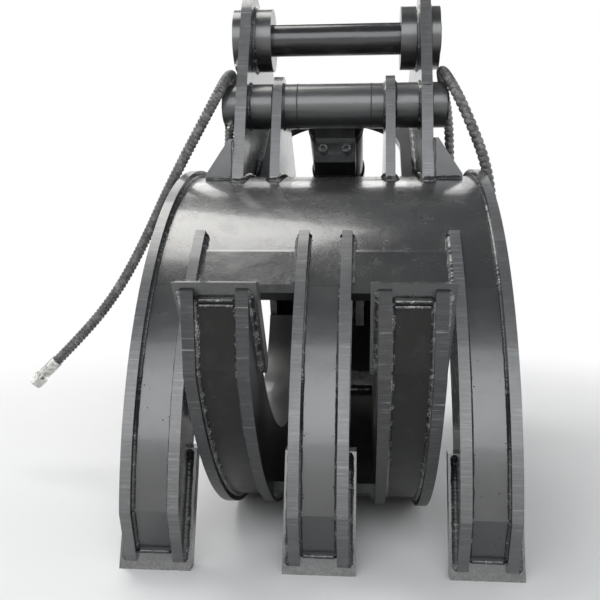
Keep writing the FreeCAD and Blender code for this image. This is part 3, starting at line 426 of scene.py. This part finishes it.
class Beads:
    """Weld beads that go with one body."""

    def __init__(self):
        self.vertices = []
        self.faces = []
        self.drops = []

    def run(self, points, first, second, width=8.0, spatter=0.0, closed=False):
        """One bead along points, in the corner between two surfaces.

        first and second point away from the two surfaces, as one vector for
        the whole bead or one for each point.
        """
        line = []
        ways = []
        step = 0.0017
        for index in range(len(points) - 1):
            start, end = points[index], points[index + 1]
            pieces = max(1, round((end - start).length / step))
            for piece in range(pieces):
                share = piece / pieces
                line.append(start.lerp(end, share))
                pair = []
                for way in (first, second):
                    if isinstance(way, list):
                        pair.append(way[index].lerp(way[index + 1], share).normalized())
                    else:
                        pair.append(way)
                ways.append(pair)
        line.append(points[-1].copy())
        ways.append([way[-1] if isinstance(way, list) else way for way in (first, second)])
        base = len(self.vertices)
        around = 6
        seed = random.random() * 50.0
        walked = 0.0
        for index, (spot, (one, two)) in enumerate(zip(line, ways)):
            if index:
                walked += (spot - line[index - 1]).length
            ripple = (walked * 1000.0 / 4.6 + 0.25 * noise.noise(Vector((walked * 90.0, seed, 0.0)))) % 1.0
            swell = 1.0 + 0.16 * noise.noise(Vector((walked * 60.0, seed, 5.0))) - 0.16 * ripple
            if not closed:
                close = min(walked, max(0.0, (line[-1] - spot).length))
                swell *= min(1.0, 0.45 + close / 0.008)
            reach = width / 1000.0 * swell
            for turn in range(around):
                angle = math.pi / 2.0 * turn / (around - 1)
                bulge = reach * (1.0 - 0.17 * math.sin(2.0 * angle))
                sunk = -0.0006
                self.vertices.append(spot + one * (bulge * math.cos(angle) + sunk)
                                     + two * (bulge * math.sin(angle) + sunk))
            if spatter and random.random() < spatter:
                away = reach + random.random() ** 2 * 0.014
                self.drops.append((spot + two * away, 0.0006 + 0.0009 * random.random()))
        for index in range(len(line) - 1):
            low = base + index * around
            for turn in range(around - 1):
                self.faces.append((low + turn, low + turn + 1, low + around + turn + 1, low + around + turn))
        if not closed:
            self.faces.append(tuple(base + turn for turn in reversed(range(around))))
            last = base + (len(line) - 1) * around
            self.faces.append(tuple(last + turn for turn in range(around)))

    def arc(self, centre, radius, start, end, x, face_way, width=8.0, outward=1.0, spatter=0.0, closed=False):
        """Bead along an arc of the side view, against a plate whose face points along X."""
        count = max(4, int(abs(end - start) / 2.0))
        angles = [start + (end - start) * index / count for index in range(count + 1)]
        self.run([on_arc(centre, radius, angle, x) for angle in angles],
                 [side_way(angle) * outward for angle in angles], right_way * face_way,
                 width, spatter, closed)

    def across(self, spot, low, high, first, second, width=7.0, spatter=0.0):
        """Straight bead along X between two widths."""
        self.run([place(low, *spot), place(high, *spot)], first, second, width, spatter)

    def finish(self, name, body, material):
        for spot, size in self.drops:
            base = len(self.vertices)
            for x, y, z in ((1, 0, 0), (-1, 0, 0), (0, 1, 0), (0, -1, 0), (0, 0, 1), (0, 0, -1)):
                self.vertices.append(spot + Vector((x, y, z)) * size)
            for a, b, c in ((0, 2, 4), (2, 1, 4), (1, 3, 4), (3, 0, 4),
                            (2, 0, 5), (1, 2, 5), (3, 1, 5), (0, 3, 5)):
                self.faces.append((base + a, base + b, base + c))
        piece = new_piece(name, self.vertices, self.faces, material)
        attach(piece, body)
        return piece


def line_way(start, end):
    """Unit direction between two side-view points."""
    return Vector((0.0, end[0] - start[0], end[1] - start[1])).normalized()


frame_beads = Beads()
jaw_beads = Beads()
barrel_beads = Beads()

tine_half = 42.5
plate = 16.0
tip_way = line_way((-533.1, 0.0), (-478.1, 166.0))
tip_face_way = Vector((0.0, -tip_way.z, tip_way.y))
front_web_end = (-524.4, 26.2)
front_web_knuckle = (-547.4, 92.0)
bevel_way = line_way(front_web_end, front_web_knuckle)
bevel_face_way = Vector((0.0, -bevel_way.z, bevel_way.y))


def channel(store, x, face_way, foot, knuckle, foot_way, centre, radius, start, end, width):
    """Bead inside a tine, up the straight end of its web and round the arc above."""
    store.run([place(x, *foot), place(x, *knuckle)], foot_way, right_way * face_way, width, 0.03)
    store.arc(centre, radius, start, end, x, face_way, width, spatter=0.03)


for middle in (-237.5, 0.0, 237.5):
    low = middle - tine_half
    high = middle + tine_half
    for edge, inner_face, face_way in ((low, low + plate, 1.0), (high, high - plate, -1.0)):
        outermost = abs(edge) > 250.0
        top_angle = 73.0 if outermost else 128.2
        channel(frame_beads, inner_face, face_way, front_web_end, front_web_knuckle, bevel_face_way,
                front_centre, front_skin, front_knuckle_angle, top_angle, 5.4)
        if not outermost:
            frame_beads.arc(front_centre, front_skin, 139.3, 128.2, edge, -face_way, 8.5, spatter=0.06)
            ends = sorted((edge, inner_face))
            frame_beads.run([on_arc(front_centre, front_skin, 128.0, ends[0] - 4.0),
                             on_arc(front_centre, front_skin, 128.0, ends[1] + 4.0)],
                            side_way(128.0), side_way(38.0), 8.0, 0.05)
        frame_beads.run([place(edge, -529.3, 11.4), place(edge, -478.6, 164.5)],
                        tip_face_way, right_way * -face_way, 8.0)
    frame_beads.across(front_web_end, low + plate, high - plate, bevel_face_way, tip_face_way, 8.0, 0.04)


def pressed_strip(name, low, high):
    """Flat pressed edge of the shell between two tines, above its lip."""
    rows = []
    for angle, reach in ((131.5, 544.6), (131.55, 546.3), (132.1, 546.8), (139.2, 546.8), (139.25, 544.6)):
        rows.append([on_arc(front_centre, reach, angle, low + (high - low) * step / 12)
                     for step in range(13)])
    vertices = [spot for row in rows for spot in row]
    faces = []
    for row in range(len(rows) - 1):
        for step in range(12):
            first = row * 13 + step
            faces.append((first, first + 1, first + 14, first + 13))
    strip = new_piece(name, vertices, faces, body_paint, False)
    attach(strip, "frame")


pressed_strip("pressed_edge_left", -195.5, -42.0)
pressed_strip("pressed_edge_right", 42.0, 195.5)
for low, high in ((-195.0, -42.5), (42.5, 195.0)):
    frame_beads.run([on_arc(front_centre, front_skin, 139.4, low),
                     on_arc(front_centre, front_skin, 139.4, high)],
                    side_way(139.4), side_way(49.4), 5.5, 0.03)

rear_tip_way = line_way((-664.0, 426.0), (-549.2, 293.9))
rear_tip_face_way = Vector((0.0, rear_tip_way.z, -rear_tip_way.y))
rear_web_end = (-645.3, 404.4)
rear_web_knuckle = (-635.7, 312.2)
rear_bevel_way = line_way(rear_web_knuckle, rear_web_end)
rear_bevel_face_way = Vector((0.0, -rear_bevel_way.z, rear_bevel_way.y))
for side in (-1.0, 1.0):
    for edge, inner_face, face_way, last in ((80.5, 96.5, 1.0, 258.0), (165.5, 149.5, -1.0, 270.0)):
        channel(jaw_beads, side * inner_face, side * face_way, rear_web_end, rear_web_knuckle,
                rear_bevel_face_way, rear_centre, rear_skin, rear_knuckle_angle, last, 6.2)
        jaw_beads.run([place(side * edge, -656.0, 417.0), place(side * edge, -551.0, 296.0)],
                      rear_tip_face_way, right_way * (-side * face_way), 8.0)
    jaw_beads.arc(rear_centre, rear_skin, 243.4, 258.0, side * 80.5, -side, 8.0, spatter=0.03)
    jaw_beads.run([place(side * 149.5, -130.0, 13.0), place(side * 149.5, 60.0, 13.0)],
                  -up_way, right_way * -side, 7.0)
    jaw_beads.arc(rear_back_centre, rear_back_skin, 270.0, 369.0, side * 149.5, -side, 7.0)
    for shift in (0.0, 7.0):
        spot = (rear_web_end[0] + rear_bevel_way.y * -shift, rear_web_end[1] - rear_bevel_way.z * shift)
        jaw_beads.across(spot, side * 96.5, side * 149.5, rear_bevel_face_way, rear_tip_face_way, 6.5, 0.05)
    for x, way in ((40.0, -1.0), (60.0, 1.0)):
        jaw_beads.arc(rear_back_centre, rear_back_inner, -19.0, 9.0, side * x, side * way, 7.0,
                      outward=-1.0)
for angle, turn in ((-42.66, 90.0), (-50.14, -90.0)):
    jaw_beads.run([on_arc(rear_back_centre, rear_back_inner, angle, -80.0),
                   on_arc(rear_back_centre, rear_back_inner, angle, 80.0)],
                  side_way(angle + 180.0), side_way(angle + turn), 6.5)

# Feet of the upper frame
ear_edge_way = Vector((0.0, -0.960, 0.280))
for side in (-1.0, 1.0):
    for x, way, first_angle in ((ear_outer, 1.0, 103.3), (ear_inner, -1.0, 103.3),
                                (inner_plate_outer, 1.0, 102.4), (inner_plate_inner, -1.0, 102.4)):
        frame_beads.arc(front_centre, front_skin, first_angle, 72.0, side * x, side * way, 8.5, spatter=0.05)
    for low, high, angle in ((164.0, 191.0, 103.4), (97.0, 121.0, 102.45)):
        frame_beads.run([on_arc(front_centre, front_skin, angle, side * low),
                         on_arc(front_centre, front_skin, angle, side * high)],
                        side_way(angle), side_way(angle + 90.0), 9.0, 0.06)
    frame_beads.across((-73.0, 763.0), side * ear_inner, side * ear_outer, ear_edge_way, up_way, 1.6)
    for y, way in ((-109.0, -1.0), (-97.0, 1.0)):
        face = Vector((0.0, way, 0.0))
        foot_z = 50.0 + math.sqrt(front_skin ** 2 - (y + 4.0) ** 2)
        frame_beads.across((y, foot_z), side * ear_outer, side * 241.0, side_way(101.0), face, 7.0, 0.05)
        frame_beads.run([place(side * ear_outer, y, foot_z), place(side * ear_outer, y, 660.0)],
                        right_way * side, face, 6.5, 0.03)
    arch_way = side_way(33.05)
    for offset, face in ((8.0, side_way(123.05)), (-8.0, side_way(-56.95))):
        start = place(side * ear_inner, 66.0, 597.3) + face * (abs(offset) / 1000.0)
        frame_beads.run([start, start + arch_way * 0.296], face, right_way * -side, 9.5, 0.05)
    frame_beads.across((58.0, 50.0 + math.sqrt(front_skin ** 2 - 62.0 ** 2)), side * 138.0, side * ear_inner,
                       side_way(83.0), side_way(123.0), 8.0, 0.05)


def ring(store, spot, radius, x, face_way, width):
    """Bead round a boss, against the plate that it stands on."""
    angles = [360.0 * index / 48 for index in range(49)]
    store.run([on_arc(spot, radius, angle, x) for angle in angles], [side_way(angle) for angle in angles],
              right_way * face_way, width, 0.0, True)


plate_faces = ((ear_outer, 1.0), (ear_inner, -1.0), (inner_plate_outer, 1.0), (inner_plate_inner, -1.0))
for side in (-1.0, 1.0):
    ring(frame_beads, stick_pin, boss_radius, side * ear_outer, side, 6.5)
    ring(frame_beads, stick_pin, boss_radius, side * ear_inner, -side, 6.5)
    ring(frame_beads, link_pin, boss_radius, side * ear_outer, side, 6.5)
    ring(frame_beads, jaw_pin, jaw_boss_radius, side * ear_outer, side, 6.0)
    for x, way in plate_faces:
        ring(frame_beads, anchor_pin, sleeve_radius, side * x, side * way, 5.5)

# Cylinder: rims of the welded cap and the block's foot
cylinder_way = line_way(anchor_pin, rod_pin)
cylinder_down = Vector((0.0, cylinder_way.z, -cylinder_way.y))


def round_cylinder(distance, radius, face, width):
    middle = place(0.0, *anchor_pin) + cylinder_way * (distance / 1000.0)
    turns = [2.0 * math.pi * index / 48 for index in range(49)]
    ways = [right_way * math.cos(turn) + cylinder_down * math.sin(turn) for turn in turns]
    barrel_beads.run([middle + way * (radius / 1000.0) for way in ways], ways, face, width, 0.0, True)


round_cylinder(254.0, 56.0, -cylinder_way, 3.5)
round_cylinder(79.0, 56.0, cylinder_way, 2.5)

frame_beads.finish("frame_weld_beads", "frame", weld_paint)
jaw_beads.finish("jaw_weld_beads", "rear_jaw", bare_weld_with_painted_glints)
barrel_beads.finish("cylinder_weld_beads", "cylinder_barrel", weld_paint)


def band(name, centre, radius, low, high, material, body):
    """Thin ring across the grapple, such as the grease squeezed from a joint."""
    around = 64
    vertices = []
    faces = []
    for x, reach in ((low, radius), (low, radius + 0.5), (high, radius + 0.5), (high, radius)):
        for turn in range(around):
            angle = 360.0 * turn / around
            vertices.append(on_arc(centre, reach, angle, x))
    for row in range(3):
        for turn in range(around):
            ahead = (turn + 1) % around
            faces.append((row * around + turn, row * around + ahead,
                          (row + 1) * around + ahead, (row + 1) * around + turn))
    piece = new_piece(name, vertices, faces, material)
    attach(piece, body)
    return piece


for side_name, side in (("left", -1.0), ("right", 1.0)):
    grease = band("eye_gap_grease_" + side_name, anchor_pin, 43.9, side * 71.2, side * 73.2, rubber, "frame")

# Hoses
hose_routes = {
    "left": [
        (-248.0, 190.0, 615.0), (-248.0, 190.0, 715.0), (-222.0, 107.0, 800.0), (-206.0, -25.0, 806.0),
        (-229.0, -103.0, 727.0), (-312.0, -90.0, 584.0), (-378.0, -66.0, 459.0), (-433.7, -60.0, 365.6),
        (-496.0, -62.0, 287.8), (-562.1, -60.0, 223.7)],
    "right": [
        (248.0, 190.0, 615.0), (248.0, 190.0, 715.0), (222.0, 107.0, 800.0), (207.0, -20.0, 809.0),
        (242.0, -106.0, 722.0), (304.0, -58.0, 588.0), (312.0, -9.0, 440.0), (318.0, 28.0, 290.0),
        (318.0, 66.0, 150.0), (322.0, 140.0, 45.0), (330.0, 270.0, 16.5), (338.0, 380.0, 16.5)],
}


def route_line(points):
    """Points along the smooth spline of a route."""
    data = bpy.data.curves.new("route", "CURVE")
    data.dimensions = "3D"
    spline = data.splines.new("NURBS")
    spline.points.add(len(points) - 1)
    for point, spot in zip(spline.points, points):
        point.co = (*place(*spot), 1.0)
    spline.order_u = 3
    spline.use_endpoint_u = True
    data.resolution_u = 40
    holder = bpy.data.objects.new("route", data)
    bpy.context.scene.collection.objects.link(holder)
    bpy.context.view_layer.update()
    mesh = bpy.data.meshes.new_from_object(holder)
    line = [vertex.co.copy() for vertex in mesh.vertices]
    bpy.data.objects.remove(holder)
    return line


def even_line(line, step):
    """The same line with points a fixed step apart."""
    spots = [line[0].copy()]
    left = step
    for start, end in zip(line, line[1:]):
        length = (end - start).length
        while length > 1e-9 and left <= length:
            start = start.lerp(end, left / length)
            length -= left
            left = step
            spots.append(start.copy())
        left -= length
    spots.append(line[-1].copy())
    return spots


def frames_along(line):
    """A side and a top direction at each point, turned as little as can be."""
    frames = []
    side = None
    for index in range(len(line)):
        ahead = line[min(index + 1, len(line) - 1)] - line[max(index - 1, 0)]
        ahead.normalize()
        if side is None:
            side = ahead.orthogonal().normalized()
        side = (side - ahead * side.dot(ahead)).normalized()
        frames.append((side, ahead.cross(side)))
    return frames


def spiral_hose(name, line, radius, pitch, material):
    """Hose inside a wound guard: each turn is a rounded band with a gap beside it."""
    around = 20
    vertices = []
    faces = []
    frames = frames_along(line)
    walked = 0.0
    for index, (spot, (side, top)) in enumerate(zip(line, frames)):
        if index:
            walked += (spot - line[index - 1]).length
        for turn in range(around):
            angle = 2.0 * math.pi * turn / around
            phase = (walked / pitch + turn / around) % 1.0
            aside = abs(phase - 0.5) / 0.40
            crest = max(0.0, 1.0 - aside ** 2) ** 0.5
            reach = radius * (0.80 + 0.20 * crest)
            vertices.append(spot + side * (math.cos(angle) * reach) + top * (math.sin(angle) * reach))
    for index in range(len(line) - 1):
        low = index * around
        for turn in range(around):
            ahead = (turn + 1) % around
            faces.append((low + turn, low + ahead, low + around + ahead, low + around + turn))
    faces.append(tuple(reversed(range(around))))
    faces.append(tuple(range((len(line) - 1) * around, len(line) * around)))
    return new_piece(name, vertices, faces, material)


hose_radius = 0.0105
point_gap = 0.0012
for side_name, pitch in (("left", 0.0085), ("right", 0.0125)):
    line = even_line(route_line(hose_routes[side_name]), point_gap)
    length = sum((b - a).length for a, b in zip(line, line[1:]))
    tube = spiral_hose("guarded_hose_" + side_name, line, hose_radius, pitch, guard)
    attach(tube, "frame")
    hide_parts("hose_" + side_name)
    [tuple(p) for p in line[::5] + [line[-1]]]


def inner_line(side_name, side):
    """Rubber line from an ear to the side of the cylinder."""
    line_place = (190.0, 600.0)
    line_radius = 8.0
    line_end = 38.0
    around = 18
    rings = 60
    vertices = []
    faces = []
    for index in range(rings + 1):
        share = index / rings
        x = side * (ear_outer + (line_end - ear_outer) * share)
        crimp = 1.0 if 0.06 < share < 0.86 else 1.12
        for turn in range(around):
            angle = 360.0 * turn / around
            vertices.append(on_arc(line_place, line_radius * crimp, angle, x))
    for index in range(rings):
        for turn in range(around):
            ahead = (turn + 1) % around
            faces.append((index * around + turn, index * around + ahead,
                          (index + 1) * around + ahead, (index + 1) * around + turn))
    piece = new_piece("inner_line_" + side_name, vertices, faces, rubber)
    tuple(place(side * 98.0, 190.0, 600.0))
    tuple(place(side * 44.0, 190.0, 600.0))
    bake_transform(piece)
    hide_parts("jumper_tube_" + side_name)


inner_line("left", -1.0)
inner_line("right", 1.0)

# Softened plate edges, so that they catch the light
for name, node in nodes.items():
    if name.startswith(("hose_left", "hose_right", "jumper")):
        continue
    bevel = node.modifiers.new("worn_edges", "BEVEL")
    bevel.width = 0.0012
    bevel.segments = 2
    bevel.limit_method = "ANGLE"
    bevel.angle_limit = math.radians(40.0)
    bevel.harden_normals = False
    bevel.use_clamp_overlap = True
    if len(node.data.materials) > 1:
        bevel.material = 1


# Stage
def floor_finish():
    """White studio floor that fades to plain white away from the grapple."""
    f = Finish("studio_white")
    x = f.part(f.where, 0)
    y = f.part(f.where, 1)
    away = (x * x + (y - 0.15) * (y - 0.15)) ** 0.5
    fade = away.step(0.75, 1.7)
    f.set("Base Color", f.mix(fade, (0.78, 0.78, 0.78), (0.0, 0.0, 0.0)))
    f.set("Roughness", 0.85)
    f.set("Specular IOR Level", 0.0)
    f.set("Emission Color", f.mix(fade, (0.0, 0.0, 0.0), (1.0, 1.0, 1.0)))
    f.set("Emission Strength", 1.0)
    f.set("Normal", f.bump(f.noise(60.0), 0.02, 0.001))
    return f.material


def backdrop_finish():
    """Plain white that gives the same light from every side."""
    f = Finish("backdrop_white")
    f.set("Base Color", (0.0, 0.0, 0.0))
    f.set("Roughness", 1.0)
    f.set("Specular IOR Level", 0.0)
    f.set("Emission Color", (1.0, 1.0, 1.0))
    f.set("Emission Strength", 1.0)
    return f.material


def stage_sheet(name, corners, material):
    mesh = bpy.data.meshes.new(name)
    mesh.from_pydata(corners, [], [(0, 1, 2, 3)])
    mesh.materials.append(material)
    sheet = bpy.data.objects.new(name, mesh)
    bpy.context.scene.collection.objects.link(sheet)


reach = 9.0
far = 8.0
wide = 8.5
high = 7.0
stage_sheet("studio_floor", [(-reach, -reach, 0), (reach, -reach, 0), (reach, reach, 0), (-reach, reach, 0)],
            floor_finish())
backdrop = backdrop_finish()
stage_sheet("backdrop", [(-reach, far, 0), (reach, far, 0), (reach, far, high), (-reach, far, high)],
            backdrop)
for side_name, x in (("left", -wide), ("right", wide)):
    stage_sheet(side_name + "_backdrop", [(x, -reach, 0), (x, reach, 0), (x, reach, high), (x, -reach, high)],
                backdrop)
stage_sheet("front_backdrop",
            [(-reach, -far, 0), (reach, -far, 0), (reach, -far, high), (-reach, -far, high)], backdrop)

world = bpy.data.worlds.new("studio")
bpy.context.scene.world = world
world.use_nodes = True
sky = world.node_tree.nodes["Background"]
sky.inputs["Color"].default_value = (0.90, 0.95, 1.0, 1.0)
sky.inputs["Strength"].default_value = 0.22


def lamp(name, spot, target, width, height, power, colour=(1.0, 1.0, 1.0)):
    data = bpy.data.lights.new(name, "AREA")
    data.color = colour
    data.shape = "RECTANGLE"
    data.size = width
    data.size_y = height
    data.energy = power
    holder = bpy.data.objects.new(name, data)
    bpy.context.scene.collection.objects.link(holder)
    holder.location = spot
    holder.rotation_euler = (Vector(target) - Vector(spot)).to_track_quat("-Z", "Y").to_euler()


lamp("front_sky_box", (-0.2, -3.4, 2.2), (0.0, -0.3, 0.4), 3.8, 2.5, 75.0, (0.93, 0.97, 1.0))
lamp("overhead_box", (-1.1, 0.6, 3.0), (-0.1, 0.0, 0.5), 1.4, 2.2, 46.0, (1.0, 0.99, 0.96))
lamp("rear_sky_box", (-0.5, 2.9, 2.7), (0.0, 0.0, 0.6), 2.4, 1.3, 17.0, (1.0, 0.99, 0.97))
lamp("left_box", (-2.8, -0.6, 1.5), (0.0, 0.0, 0.5), 0.8, 1.8, 6.0)
lamp("right_box", (2.8, -0.4, 1.5), (0.0, 0.0, 0.5), 0.8, 1.8, 6.0)

camera_data = bpy.data.cameras.new("photo_camera")
camera_data.lens = 48.0
camera_data.sensor_width = 36.0
camera_data.clip_start = 0.01
camera = bpy.data.objects.new("photo_camera", camera_data)
bpy.context.scene.collection.objects.link(camera)
camera.location = (0.064, -1.5561, 0.492)
downward = 5.1
turned = 4.7
camera.rotation_euler = (math.radians(90.0 - downward), 0.0, math.radians(turned))
bpy.context.scene.camera = camera
bpy.context.scene.view_settings.view_transform = "Standard"
